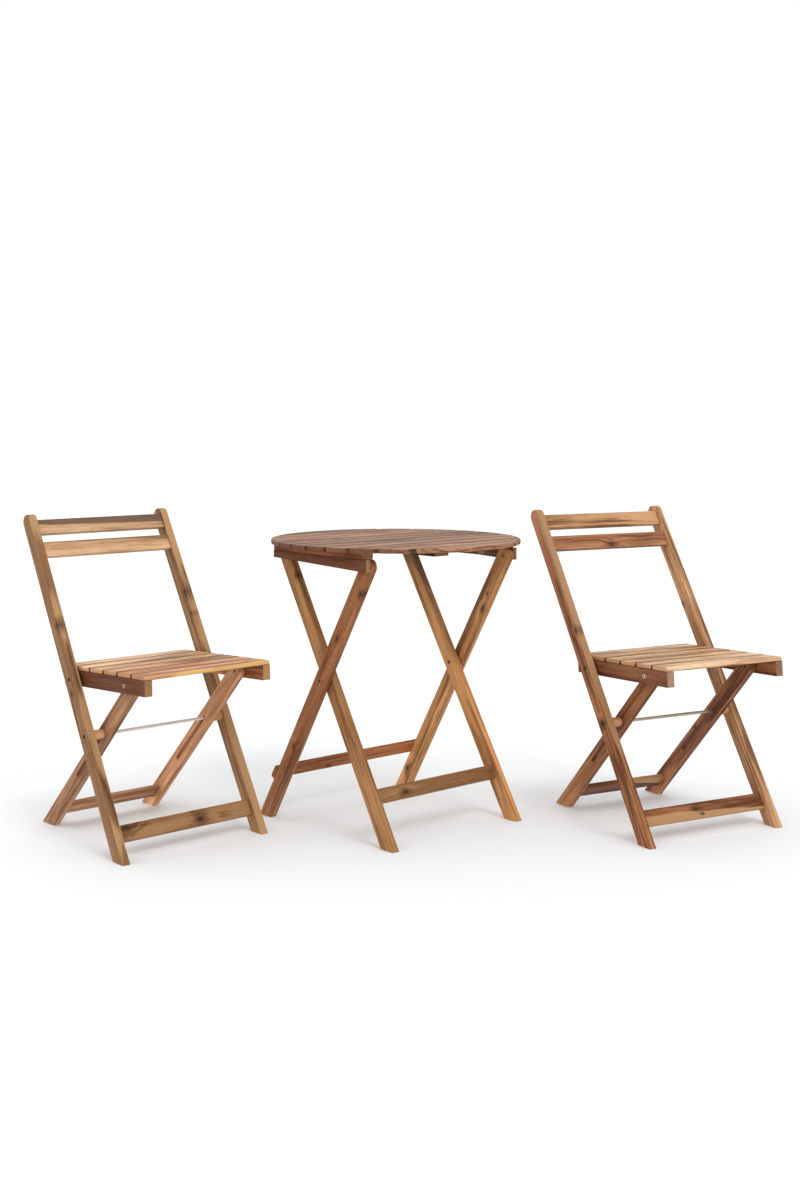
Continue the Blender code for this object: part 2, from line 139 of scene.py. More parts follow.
TOP_SLAT_GAINS = (1.20, 0.96, 0.89, 1.06, 0.68, 0.75, 0.77, 1.04, 1.05, 0.91, 0.48)
CUTS = {
    "table_outer_leg_left": cut("chestnut", 1.00, ((0.336, 0.017, 0.006), (0.182, 0.0, 0.0055),
                                                  (-0.170, 0.002, 0.0045)), figure=0.75),
    "table_outer_leg_right": cut("amber", 1.20, ((0.234, 0.010, 0.0055), (0.279, 0.004, 0.003),
                                                 (-0.349, -0.006, 0.005)), figure=0.85),
    "table_outer_crossbar": cut("russet", 1.17, ((-0.075, -0.006, 0.005),), figure=0.8),
    "table_inner_leg_left": cut("amber", 0.86, ((0.33, 0.016, 0.004),), figure=0.6),
    # the top end takes a band of painted shade, where the tabletop shades the leg
    "table_inner_leg_right": cut("amber", 1.36, (), PAINTED_SHADE_BROWN, (0.0, 0.0145, 0.05),
                                 figure=0.6),
    "table_inner_crossbar": cut("moss", 1.12, ((-0.113, -0.004, 0.006),), figure=0.6),
    "table_rail_left": cut("mahogany", 0.89, end=PALE_END),
    "table_rail_right": cut("moss", 0.70, end=RUST_END),
    "table_batten_left": cut("russet", 1.30, end=PALE_END),
    # a gain of a quarter: painted shade, the centre batten darkened where the tabletop shades it
    "table_batten_centre": cut("mahogany", 0.25, end=TAN_END),
    "table_batten_right": cut("umber", 0.9, end=PALE_END),
    "left_chair_post_left": cut("olive", 0.86, ((0.152, 0.014, 0.0075), (-0.030, -0.004, 0.004)),
                                SAP_CREAM, (1.0, 0.0170, 0.0), figure=0.6),
    "left_chair_post_right": cut("olive", 0.95, ((0.211, 0.014, 0.0075), (0.147, 0.014, 0.0035)),
                                 SAP_CREAM, (1.0, 0.0165, 0.005), figure=0.65),
    "left_chair_back_slat_top": cut("straw", 0.87, (), SHADOW_PLUM, (1.0, 0.001, 0.034),
                                    figure=0.45),
    "left_chair_back_slat_lower": cut("straw", 1.07, (), SHADOW_BROWN, (1.0, 0.0125, 0.034),
                                      figure=0.35),
    "left_chair_front_stretcher": cut("olive", 0.81, ((0.042, -0.004, 0.0080),
                                                      (-0.176, 0.012, 0.0075)), figure=1.2),
    "left_chair_rear_leg_left": cut("blush", 0.67),
    "left_chair_rear_leg_right": cut("blush", 1.12, figure=0.8),
    "left_chair_rear_stretcher": cut("blush", 0.91, figure=0.8),
    "left_chair_seat_rail_left": cut("mahogany", 0.80, end=PALE_END),
    "left_chair_seat_rail_right": cut("umber", 2.32, end=CREAM_END),
    "left_chair_seat_slat_1": cut("blush", 1.02, (), SAP_STRAW, (1.0, 0.024, 0.030)),
    "left_chair_seat_slat_2": cut("blush", 1.14),
    "left_chair_seat_slat_3": cut("blush", 1.01),
    "left_chair_seat_slat_4": cut("honey", 1.05),
    "left_chair_seat_slat_5": cut("straw", 1.07),
    "left_chair_seat_slat_6": cut("straw", 0.97),
    "right_chair_post_left": cut("chestnut", 1.04, ((0.110, 0.016, 0.0045), (-0.148, -0.003, 0.005)),
                                 SAP_TAN, (1.0, 0.0150, 0.022), figure=1.3),
    "right_chair_post_right": cut("tan", 1.11, ((0.175, -0.016, 0.005),)),
    "right_chair_back_slat_top": cut("tan", 1.00, figure=1.2),
    "right_chair_back_slat_lower": cut("rose", 0.76, ((0.0, -0.010, 0.0065),)),
    "right_chair_front_stretcher": cut("umber", 1.08, ((-0.024, 0.003, 0.004),
                                                       (-0.010, -0.010, 0.003)),
                                       SAP_HONEY, (-1.0, 0.003, -0.045)),
    "right_chair_rear_leg_left": cut("chestnut", 0.94),
    "right_chair_rear_leg_right": cut("umber", 1.21, ((0.007, 0.010, 0.004),), figure=1.3),
    "right_chair_rear_stretcher": cut("russet", 0.56, (), SAP_CREAM, (1.0, 0.021, 0.20)),
    "right_chair_seat_rail_left": cut("umber", 0.87, end=GREY_END),
    "right_chair_seat_rail_right": cut("umber", 1.23, end=DULL_END),
    "right_chair_seat_slat_1": cut("straw", 0.98, figure=1.2),
    "right_chair_seat_slat_2": cut("straw", 0.95, figure=1.2),
    "right_chair_seat_slat_3": cut("honey", 1.09, figure=1.2),
    "right_chair_seat_slat_4": cut("honey", 0.86, figure=1.2),
    "right_chair_seat_slat_5": cut("honey", 0.91, figure=1.2),
    "right_chair_seat_slat_6": cut("straw", 0.89, figure=1.2),
}
for number, gain in enumerate(TOP_SLAT_GAINS, 1):
    CUTS[f"table_top_slat_{number:02d}"] = cut("grey_rose", gain, end=DARK_END)
SPACER_CUT = cut("blush", 1.12, figure=0.6)
STRIP_CUT = cut("umber", 0.6, end=PALE_END)

# The wood's layers of noise: how fine each is along the grain, across it and through it, what
# is added to the piece's seed, and the noise's detail and roughness
NOISES = {
    "warp": ((3.0, 9.0, 9.0), 2.0, 2.0, 0.5),
    "rings": ((2.4, 150.0, 1.0), 3.0, 2.0, 0.6),
    "drift": ((4.5, 20.0, 20.0), 0.0, 2.0, 0.5),
    "streak": ((7.0, 95.0, 95.0), 9.0, 2.0, 0.55),
    "fibre": ((14.0, 330.0, 330.0), 5.0, 2.0, 0.6),
    "pores": ((42.0, 1150.0, 1150.0), 15.0, 1.0, 0.5),
    "knots": ((60.0, 130.0, 130.0), 0.0, 2.0, 0.5),
}
NOISE_MIDDLE = 0.5

# What each layer adds to the figure and to the relief
FIGURE_SHARES = {"rings": 0.26, "drift": 0.25, "streak": 0.31, "fibre": 0.18}
RELIEF_SHARES = {"fibre": 0.7, "streak": 0.3, "pores": -0.5, "knots": -0.4}
CONTRAST = 1.45               # of the figure, on every piece

# Where each tone or layer starts and where it is complete, as values of the noise behind it
DARK_TO_BODY = (0.34, 0.50)
BODY_TO_LIGHT = (0.50, 0.68)
PORE_LIMITS = (0.55, 0.66)
LINE_LIMITS = (0.43, 0.34)
RING_LIMITS = (0.28, 0.72)
SAP_AND_SHADE_BORDER = (-0.0016, 0.0022)  # in metres
END_LIMITS = (0.40, 0.80)       # how squarely a surface faces along the grain

# How far each layer hides what is under it, 1 being wholly
PORE_COVER = 0.45
LINE_COVER = 0.45
SAP_AND_SHADE_COVER = 0.85
RIM_COVER = 0.62
CORE_COVER = 0.85
# the painted shade in the gaps between slats
GAP_SHADE_COVER = 0.85
END_COVER = 0.85

# Knots: where their parts start and are complete, in the knot's radii from its middle
KNOT_PULL = (4.5, 0.4)
KNOT_CORE = (1.0, 0.45)
KNOT_RIM = (2.6, 0.9)
KNOT_SQUEEZE = 0.55             # of lengths along the grain, which draws the knots out
KNOT_BEND = 0.9                 # how far they bend the rings
KNOT_WOBBLE = (0.9, 0.55)       # of their outline: its noise times the first, plus the second
CORE_COLOUR = (0.012, 0.006, 0.004)
CORE_DEPTH = 0.78               # how much of that colour the cores take

RING_WARP = 0.030               # in metres, how far the rings wander
SAP_AND_SHADE_DRIFT = 0.030               # in metres, how far the border of the sap and painted shade band wanders with drift
SAP_AND_SHADE_STREAK = 0.008              # and with the streaks
END_STREAK = 0.6                # how dark the streaks are on end grain
WOOD_SPECULAR = 0.18
WOOD_ROUGH = (0.40, 0.22)       # the least, and what the fibres add
WOOD_BUMP = (0.30, 0.0006)      # strength, and depth in metres
SEED_STEP = 1.37                # between the seeds of two pieces

# A piece's own directions, by the parts of a unit vector
LEVEL_LIMIT = 0.3               # one that rises or falls less than this is level
SIDEWAYS_LIMIT = 0.5            # a level one that goes further sideways than this lies sideways
SQUARE_LIMIT = 0.3              # two whose product is less than this are about square

# Painted shade on the long sides that two neighbouring slats turn to each other, where their gap
# falls dark, and how wide it is
GAP_SHADE_COLOUR = (0.060, 0.026, 0.012)
GAP_SHADE_WIDTHS = (("seat_slat", 0.0062), ("top_slat", 0.0040), ("", 0.001))
FAR_OFF = 1.0                   # a side so far from the middle that no piece reaches it

# The fourth batten under the tabletop, from the table's middle; the frame has the other three
STRIP_SIDES = (0.107, 0.129)
STRIP_ENDS = (-0.215, 0.215)
STRIP_THICK = 0.0245
STRIP_GAP = 0.0003
STRIP_SEED = 71


# Camera and studio

def table_middle():
    """The middle of the tabletop's middle slat."""
    low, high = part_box("table_top_slat_06")
    return (low + high) / 2


def view_axes():
    """Level directions ahead of the camera and to its right."""
    ahead = Vector((-sin(VIEW_TURN), cos(VIEW_TURN), 0.0))
    return ahead, Vector((ahead.y, -ahead.x, 0.0))


def make_camera():
    """The camera, placed from the table's middle."""
    middle = table_middle()
    data = bpy.data.cameras.new("camera")
    data.lens = VIEW_LENS
    data.shift_x, data.shift_y = VIEW_SHIFT
    camera = bpy.data.objects.new("camera", data)
    bpy.context.scene.collection.objects.link(camera)
    ahead, right = view_axes()
    place = middle - ahead * VIEW_AWAY - right * VIEW_ASIDE
    camera.location = (place.x, place.y, VIEW_HEIGHT)
    camera.rotation_euler = (pi / 2 + VIEW_TILT, 0.0, VIEW_TURN)
    bpy.context.scene.camera = camera


def make_world():
    """A white surround, which is dim below so that undersides fall dark."""
    world = bpy.data.worlds.new("studio")
    bpy.context.scene.world = world
    world.use_nodes = True
    graph = Graph(world.node_tree)
    place = graph.add("ShaderNodeTexCoord").outputs["Generated"]
    height = graph.split(place)[2]
    level = graph.add("ShaderNodeMapRange", {
        "Value": height, "From Min": HORIZON_BAND[0], "From Max": HORIZON_BAND[1],
        "To Min": UNDER_STRENGTH, "To Max": SKY_STRENGTH})
    background = world.node_tree.nodes["Background"]
    graph.feed(background, "Color", (1.0, 1.0, 1.0, 1.0))
    graph.feed(background, "Strength", level.outputs[0])


def make_floor():
    """A wide matt floor that only catches shadows and sends no light back up."""
    half = FLOOR_HALF
    mesh = bpy.data.meshes.new("floor")
    mesh.from_pydata([(-half, -half, 0), (half, -half, 0), (half, half, 0), (-half, half, 0)],
                     [], [(0, 1, 2, 3)])
    floor = bpy.data.objects.new("floor", mesh)
    bpy.context.scene.collection.objects.link(floor)
    mat = bpy.data.materials.new("floor")
    mat.use_nodes = True
    shader = mat.node_tree.nodes["Principled BSDF"]
    shader.inputs["Base Color"].default_value = (*FLOOR_COLOUR, 1.0)
    shader.inputs["Roughness"].default_value = 1.0
    shader.inputs["Specular IOR Level"].default_value = 0.0
    mesh.materials.append(mat)
    floor.visible_diffuse = False
    floor.visible_glossy = False


def make_sun(name, strength, width, source):
    """A sun whose light comes from source: right, ahead and up, seen from the camera."""
    ahead, right = view_axes()
    aside, depth, up = source
    towards = right * aside + ahead * depth + Vector((0.0, 0.0, up))
    data = bpy.data.lights.new(name, "SUN")
    data.energy = strength
    data.angle = width
    sun = bpy.data.objects.new(name, data)
    sun.rotation_euler = towards.to_track_quat("Z", "Y").to_euler()
    bpy.context.scene.collection.objects.link(sun)


def make_studio():
    """The surround, the floor and the suns."""
    bpy.context.scene.view_settings.view_transform = "Standard"
    make_world()
    make_floor()
    for name, (strength, width, source) in SUNS.items():
        make_sun(name, strength, width, source)


# Node trees

class Graph:
    """Short ways to add nodes to one tree and to join them."""

    def __init__(self, tree):
        self.tree = tree

    def add(self, kind, inputs=None, **settings):
        node = self.tree.nodes.new(kind)
        for key, value in settings.items():
            setattr(node, key, value)
        for key, value in (inputs or {}).items():
            self.feed(node, key, value)
        return node

    def feed(self, node, socket, value):
        """Join a socket, or set a plain value."""
        if isinstance(value, bpy.types.NodeSocket):
            self.tree.links.new(value, node.inputs[socket])
        else:
            node.inputs[socket].default_value = value

    def math(self, operation, *values, clamp=False):
        node = self.add("ShaderNodeMath", operation=operation, use_clamp=clamp)
        for i, value in enumerate(values):
            self.feed(node, i, value)
        return node.outputs[0]

    def split(self, vector):
        return self.add("ShaderNodeSeparateXYZ", {"Vector": vector}).outputs

    def join(self, x, y, z):
        return self.add("ShaderNodeCombineXYZ", {"X": x, "Y": y, "Z": z}).outputs[0]

    def stretch(self, vector, sizes):
        """The vector with each part multiplied by its own size."""
        node = self.add("ShaderNodeVectorMath", operation="MULTIPLY")
        self.feed(node, 0, vector)
        self.feed(node, 1, sizes)
        return node.outputs[0]

    def noise(self, vector, seed, detail, roughness=0.5):
        node = self.add("ShaderNodeTexNoise", {
            "Vector": vector, "W": seed, "Scale": 1.0, "Detail": detail, "Roughness": roughness},
            noise_dimensions="4D")
        return node.outputs["Fac"]

    def smooth(self, value, low, high):
        """0 at low and 1 at high, with a soft start and end. High may be under low."""
        node = self.add("ShaderNodeMapRange", {
            "Value": value, "From Min": low, "From Max": high},
            interpolation_type="SMOOTHSTEP")
        return node.outputs[0]

    def blend(self, amount, first, second):
        """From the first colour to the second. A Mix node's colours are sockets 6, 7 and 2."""
        node = self.add("ShaderNodeMix", data_type="RGBA")
        self.feed(node, 0, amount)
        self.feed(node, 6, first)
        self.feed(node, 7, second)
        return node.outputs[2]


# Wood

WOOD_INPUTS = (
    ("Centre", "NodeSocketVector"), ("Turn", "NodeSocketVector"), ("Grain", "NodeSocketVector"),
    ("Seed", "NodeSocketFloat"), ("Figure", "NodeSocketFloat"), ("Pith", "NodeSocketVector"),
    ("Dark", "NodeSocketColor"), ("Body", "NodeSocketColor"), ("Light", "NodeSocketColor"),
    ("End", "NodeSocketColor"), ("Sap", "NodeSocketColor"), ("Band", "NodeSocketVector"),
    ("Sides", "NodeSocketVector"),
    ("Knot 1", "NodeSocketVector"), ("Knot 2", "NodeSocketVector"), ("Knot 3", "NodeSocketVector"),
)
WOOD_OUTPUTS = (
    ("Color", "NodeSocketColor"), ("Roughness", "NodeSocketFloat"), ("Normal", "NodeSocketVector"),
)


def wood_group():
    """The shared wood: rings, streaks, pores, knots, sapwood and end grain round one piece, with
    painted shade in slat gaps and in one piece's band.
    """
    tree = bpy.data.node_groups.new("acacia_wood", "ShaderNodeTree")
    for name, kind in WOOD_INPUTS:
        tree.interface.new_socket(name=name, in_out="INPUT", socket_type=kind)
    for name, kind in WOOD_OUTPUTS:
        tree.interface.new_socket(name=name, in_out="OUTPUT", socket_type=kind)
    graph = Graph(tree)
    given = graph.add("NodeGroupInput").outputs
    coords = graph.add("ShaderNodeTexCoord").outputs
    place = graph.add("ShaderNodeMapping", {
        "Vector": coords["Object"], "Location": given["Centre"], "Rotation": given["Turn"]},
        vector_type="TEXTURE").outputs[0]
    seed = given["Seed"]
    near, cores, rims = knot_layers(graph, place, given)
    rings = ring_layer(graph, place, given, near)
    drift = noise_layer(graph, "drift", place, seed)
    fibre = noise_layer(graph, "fibre", place, seed)
    streak = noise_layer(graph, "streak", place, seed)
    pores = graph.smooth(noise_layer(graph, "pores", place, seed), *PORE_LIMITS)
    colour = figure_colour(graph, given, {
        "rings": rings, "drift": drift, "streak": streak, "fibre": fibre})
    colour = graph.blend(graph.math("MULTIPLY", pores, PORE_COVER), colour, given["Dark"])
    lines = graph.math("MULTIPLY", graph.smooth(streak, *LINE_LIMITS), LINE_COVER)
    colour = graph.blend(graph.math("MULTIPLY", lines, given["Figure"], clamp=True), colour,
                         given["Dark"])
    # sapwood on most pieces, painted shade on the inner right table leg
    colour = sap_and_shade_layer(graph, colour, place, given, streak, drift)
    deep = graph.blend(CORE_DEPTH, given["Dark"], (*CORE_COLOUR, 1.0))
    colour = graph.blend(graph.math("MULTIPLY", rims, RIM_COVER), colour, given["Dark"])
    colour = graph.blend(graph.math("MULTIPLY", cores, CORE_COVER), colour, deep)
    # painted shade on the long sides of neighbouring slats, where their gaps fall dark
    colour = gap_shade_layer(graph, colour, place, given)
    colour = end_layer(graph, colour, coords["Normal"], given, streak)
    rough = graph.math("ADD", WOOD_ROUGH[0], graph.math("MULTIPLY", fibre, WOOD_ROUGH[1]))
    relief = weighted(graph, RELIEF_SHARES, {
        "fibre": fibre, "streak": streak, "pores": pores, "knots": cores})
    bump = graph.add("ShaderNodeBump", {
        "Height": relief, "Strength": WOOD_BUMP[0], "Distance": WOOD_BUMP[1]})
    result = graph.add("NodeGroupOutput")
    graph.feed(result, "Color", colour)
    graph.feed(result, "Roughness", rough)
    graph.feed(result, "Normal", bump.outputs[0])
    return tree


def noise_layer(graph, name, vector, seed):
    """One layer of noise, as NOISES describes it."""
    fineness, offset, detail, roughness = NOISES[name]
    return graph.noise(graph.stretch(vector, fineness), graph.math("ADD", seed, offset),
                       detail, roughness)


def centred(graph, noise):
    """A layer of noise moved so that it swings about 0."""
    return graph.math("SUBTRACT", noise, NOISE_MIDDLE)


def weighted(graph, shares, layers):
    """The layers added up, each by its share."""
    total = 0.0
    for name, share in shares.items():
        total = graph.math("MULTIPLY_ADD", layers[name], share, total)
    return total


def figure_colour(graph, given, layers):
    """The dark, body and light tones of the wood, as its figure mixes them."""
    tone = weighted(graph, FIGURE_SHARES, layers)
    figure = graph.math("MULTIPLY", given["Figure"], CONTRAST)
    tone = graph.math("MULTIPLY_ADD", centred(graph, tone), figure, NOISE_MIDDLE)
    colour = graph.blend(graph.smooth(tone, *DARK_TO_BODY), given["Dark"], given["Body"])
    return graph.blend(graph.smooth(tone, *BODY_TO_LIGHT), colour, given["Light"])


def length_of(graph, first, second):
    """The length of a line from its two parts at a right angle."""
    squares = [graph.math("MULTIPLY", part, part) for part in (first, second)]
    return graph.math("SQRT", graph.math("ADD", *squares))


def knot_layers(graph, place, given):
    """How near each point is to a knot, and where the knots' cores and dark rims are."""
    x, y, _ = graph.split(place)
    near, cores, rims = 0.0, 0.0, 0.0
    wobble = graph.math("MULTIPLY_ADD", noise_layer(graph, "knots", place, given["Seed"]),
                        *KNOT_WOBBLE)
    for number in range(1, KNOT_SLOTS + 1):
        knot_x, knot_y, size = graph.split(given[f"Knot {number}"])
        across = graph.math("SUBTRACT", y, knot_y)
        along = graph.math("MULTIPLY", graph.math("SUBTRACT", x, knot_x), KNOT_SQUEEZE)
        apart = length_of(graph, across, along)
        reach = graph.math("DIVIDE", graph.math("MULTIPLY", apart, wobble), size)
        pull = graph.math("MULTIPLY", graph.smooth(reach, *KNOT_PULL), size)
        near = graph.math("ADD", near, pull)
        cores = graph.math("MAXIMUM", cores, graph.smooth(reach, *KNOT_CORE))
        rims = graph.math("MAXIMUM", rims, graph.smooth(reach, *KNOT_RIM))
    return near, cores, rims


def ring_layer(graph, place, given, near):
    """Uneven growth rings about the pith, bent round the knots."""
    x, y, z = graph.split(place)
    pith_y, pith_z, slope = graph.split(given["Pith"])
    warp = noise_layer(graph, "warp", place, given["Seed"])
    warp = graph.math("MULTIPLY", centred(graph, warp), RING_WARP)
    across = graph.math("ADD", graph.math("ADD", y, pith_y), warp)
    deep = graph.math("ADD", z, pith_z)
    distance = length_of(graph, across, deep)
    distance = graph.math("MULTIPLY_ADD", x, slope, distance)
    distance = graph.math("MULTIPLY_ADD", near, KNOT_BEND, distance)
    rings = noise_layer(graph, "rings", graph.join(x, distance, 0.0), given["Seed"])
    return graph.smooth(rings, *RING_LIMITS)


def sap_and_shade_layer(graph, colour, place, given, streak, drift):
    """A band of another colour along one edge, with a slanting and uneven border: sapwood, and on one
    table leg painted shade.
    """
    x, y, _ = graph.split(place)
    side, edge, slant = graph.split(given["Band"])
    past = graph.math("SUBTRACT", graph.math("MULTIPLY", y, side), edge)
    past = graph.math("MULTIPLY_ADD", x, slant, past)
    border = graph.math("MULTIPLY", centred(graph, drift), SAP_AND_SHADE_DRIFT)
    border = graph.math("MULTIPLY_ADD", centred(graph, streak), SAP_AND_SHADE_STREAK, border)
    amount = graph.smooth(graph.math("ADD", past, border), *SAP_AND_SHADE_BORDER)
    return graph.blend(graph.math("MULTIPLY", amount, SAP_AND_SHADE_COVER), colour, given["Sap"])


def end_layer(graph, colour, normal, given, streak):
    """The end grain, where the surface faces along the grain."""
    facing = graph.add("ShaderNodeVectorMath", operation="DOT_PRODUCT")
    graph.feed(facing, 0, normal)
    graph.feed(facing, 1, given["Grain"])
    end = graph.smooth(graph.math("ABSOLUTE", facing.outputs["Value"]), *END_LIMITS)
    shade = graph.blend(graph.math("MULTIPLY", streak, END_STREAK), given["End"], given["Dark"])
    return graph.blend(graph.math("MULTIPLY", end, END_COVER), colour, shade)


def gap_shade_layer(graph, colour, place, given):
    """The darker long sides of a slat: painted shade where the gaps between slats fall dark."""
    low, high, width = graph.split(given["Sides"])
    across = graph.split(place)[1]
    beyond = graph.math("MAXIMUM", graph.math("SUBTRACT", low, across),
                        graph.math("SUBTRACT", across, high))
    amount = graph.smooth(graph.math("DIVIDE", beyond, width), -1.0, 0.0)
    return graph.blend(graph.math("MULTIPLY", amount, GAP_SHADE_COVER), colour, (*GAP_SHADE_COLOUR, 1.0))


def chair_axis(name):
    """The direction across a chair, towards its right side, from the name of one of its pieces."""
    chair = name.split("_chair")[0] + "_chair"
    axis = Vector(JOINTS[f"{chair}_seat_fold"]["axis"]).normalized()
    return axis if axis.x > 0 else -axis


def flipped_grain(grain):
    """The grain's direction turned to point up, or to the right or front if it is level."""
    level = abs(grain.z) <= LEVEL_LIMIT
    sideways = abs(grain.x) > SIDEWAYS_LIMIT
    downwards = grain.z < -LEVEL_LIMIT
    leftwards = level and sideways and grain.x < 0
    backwards = level and not sideways and grain.y > 0
    return -grain if downwards or leftwards or backwards else grain


def piece_axes(obj):
    """The piece's grain, width and thickness directions, from its two largest pairs of faces."""
    if "spacer" in obj.name:
        grain = chair_axis(obj.name)
        wide = Vector((0.0, 0.0, 1.0))
        return grain, wide, grain.cross(wide)
    areas = {}
    for face in obj.data.polygons:
        normal = face.normal
        if max(normal, key=abs) < 0:
            normal = -normal
        key = tuple(round(part, 2) for part in normal)
        area, total = areas.get(key, (0.0, Vector()))
        areas[key] = (area + face.area, total + normal * face.area)
    ranked = sorted(areas.items(), key=lambda item: (-round(item[1][0], 7), item[0]))
    thick = ranked[0][1][1].normalized()
    wide = thick
    for _, (_, total) in ranked[1:]:
        wide = total.normalized()
        if abs(wide.dot(thick)) < SQUARE_LIMIT:
            break
    wide = (wide - thick * wide.dot(thick)).normalized()
    grain = flipped_grain(wide.cross(thick))
    if (abs(wide.z) > abs(wide.y) and wide.z < 0) or (abs(wide.z) <= abs(wide.y) and wide.y > 0):
        wide = -wide
    return grain, wide, grain.cross(wide)


def piece_centre(obj, axes):
    """The middle of the piece's box along its own axes."""
    points = np.array([vertex.co for vertex in obj.data.vertices])
    turn = np.array([list(axis) for axis in axes])
    local = points @ turn.T
    middle = (local.min(0) + local.max(0)) / 2
    return Vector(middle @ turn)


def gap_shade_sides(obj, wide):
    """Where a slat's long sides with painted gap shade lie from its middle, and how wide that dark
    edge is.

    A side with no slat beyond it lies far off, and so do both sides of every other piece.
    """
    width = next(width for word, width in GAP_SHADE_WIDTHS if word in obj.name)
    values = [vertex.co.dot(wide) for vertex in obj.data.vertices]
    half = (max(values) - min(values)) / 2
    low, high = -FAR_OFF, FAR_OFF
    row, _, number = obj.name.rpartition("_")
    if "slat" in row and number.isdigit():
        middle = sum(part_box(obj.name), Vector())
        for step in (-1, 1):
            beside = f"{row}_{int(number) + step:0{len(number)}d}"
            if beside in NODES and (sum(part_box(beside), Vector()) - middle).dot(wide) > 0:
                high = half
            elif beside in NODES:
                low = -half
    return low, high, width


def shaded(colour, shade):
    """A colour with each part multiplied, and made opaque."""
    return (*(part * share for part, share in zip(colour, shade)), 1.0)


def pith_offset(seed):
    """How far the pith lies across and below the piece in metres, and its slant, by the seed."""
    return 0.006 * (seed % 7) - 0.018, 0.016 + 0.007 * (seed % 5), 0.006 * (seed % 3)


def wood_material(obj, wood, seed, group):
    """One piece's own wood: the shared group, turned to the piece's grain and fed with its cut."""
    axes = piece_axes(obj)
    matrix = Matrix([list(axis) for axis in axes]).transposed()
    mat = bpy.data.materials.new(f"wood_{obj.name}")
    mat.use_nodes = True
    graph = Graph(mat.node_tree)
    shader = mat.node_tree.nodes["Principled BSDF"]
    shader.inputs["Specular IOR Level"].default_value = WOOD_SPECULAR
    node = graph.add("ShaderNodeGroup", node_tree=group)
    body = tuple(part * wood["gain"] for part in TONES[wood["tone"]])
    graph.feed(node, "Centre", piece_centre(obj, axes))
    graph.feed(node, "Turn", tuple(matrix.to_euler()))
    graph.feed(node, "Grain", tuple(axes[0]))
    graph.feed(node, "Seed", seed * SEED_STEP)
    graph.feed(node, "Figure", wood["figure"])
    graph.feed(node, "Pith", pith_offset(seed))
    graph.feed(node, "Dark", shaded(body, DARKER))
    graph.feed(node, "Body", (*body, 1.0))
    graph.feed(node, "Light", shaded(body, LIGHTER))
    graph.feed(node, "Sap", (*(wood["sap"] or SAP_CREAM), 1.0))
    graph.feed(node, "Band", wood["band"])
    graph.feed(node, "End", (*(wood["end"] or body), 1.0))
    graph.feed(node, "Sides", gap_shade_sides(obj, axes[1]))
    knots = (list(wood["knots"]) + [NO_KNOT] * KNOT_SLOTS)[:KNOT_SLOTS]
    for number, knot in enumerate(knots, 1):
        graph.feed(node, f"Knot {number}", knot)
    graph.feed(shader, "Base Color", node.outputs["Color"])
    graph.feed(shader, "Roughness", node.outputs["Roughness"])
    graph.feed(shader, "Normal", node.outputs["Normal"])
    return mat


# Metal

MARK_STRETCH = (900.0, 300.0, 300.0)
TARNISH_STRETCH = (60.0, 60.0, 60.0)
TARNISH = 0.7                 # how dark the tarnished places are
MARK_ROUGH = 0.2              # what the turning marks add to the roughness
MARK_BUMP = (0.15, 0.0002)    # strength and depth


def metal_material(name, colour, roughness, metallic=1.0):
    """Plated steel, or painted with metallic at 0, with fine turning marks and some tarnish."""
    mat = bpy.data.materials.new(name)
    mat.use_nodes = True
    graph = Graph(mat.node_tree)
    shader = mat.node_tree.nodes["Principled BSDF"]
    shader.inputs["Metallic"].default_value = metallic
    place = graph.add("ShaderNodeTexCoord").outputs["Object"]
    marks = graph.noise(graph.stretch(place, MARK_STRETCH), 1.0, 2.0)
    dull = graph.noise(graph.stretch(place, TARNISH_STRETCH), 4.0, 2.0)
    darker = tuple(part * TARNISH for part in colour)
    tint = graph.blend(dull, (*darker, 1.0), (*colour, 1.0))
    graph.feed(shader, "Base Color", tint)
    rough = graph.math("MULTIPLY_ADD", marks, MARK_ROUGH, roughness - MARK_ROUGH / 2)
    graph.feed(shader, "Roughness", rough)
    bump = graph.add("ShaderNodeBump", {
        "Height": marks, "Strength": MARK_BUMP[0], "Distance": MARK_BUMP[1]})
    graph.feed(shader, "Normal", bump.outputs[0])
    return mat


# Hardware and the fourth batten under the tabletop

BOLT_HEAD = (   # radius and height above the wood, from the middle of its back to its socket
    (0.0, -0.0010), (0.0052, -0.0010), (0.0054, 0.0002), (0.0047, 0.0009), (0.0031, 0.0009),
    (0.0027, 0.0002), (0.0, 0.0002),
)
SOCKET_ROWS = 5               # the rows of BOLT_HEAD from this one on are its socket, which takes the dark painted shade
BORE_LINER = (  # a thin collar round an open bore
    (0.0043, -0.0012), (0.0055, -0.0012), (0.0057, 0.0001), (0.0052, 0.0004), (0.0046, 0.0004),
    (0.0043, 0.0001),
)
CRISP_ANGLE = radians(40)


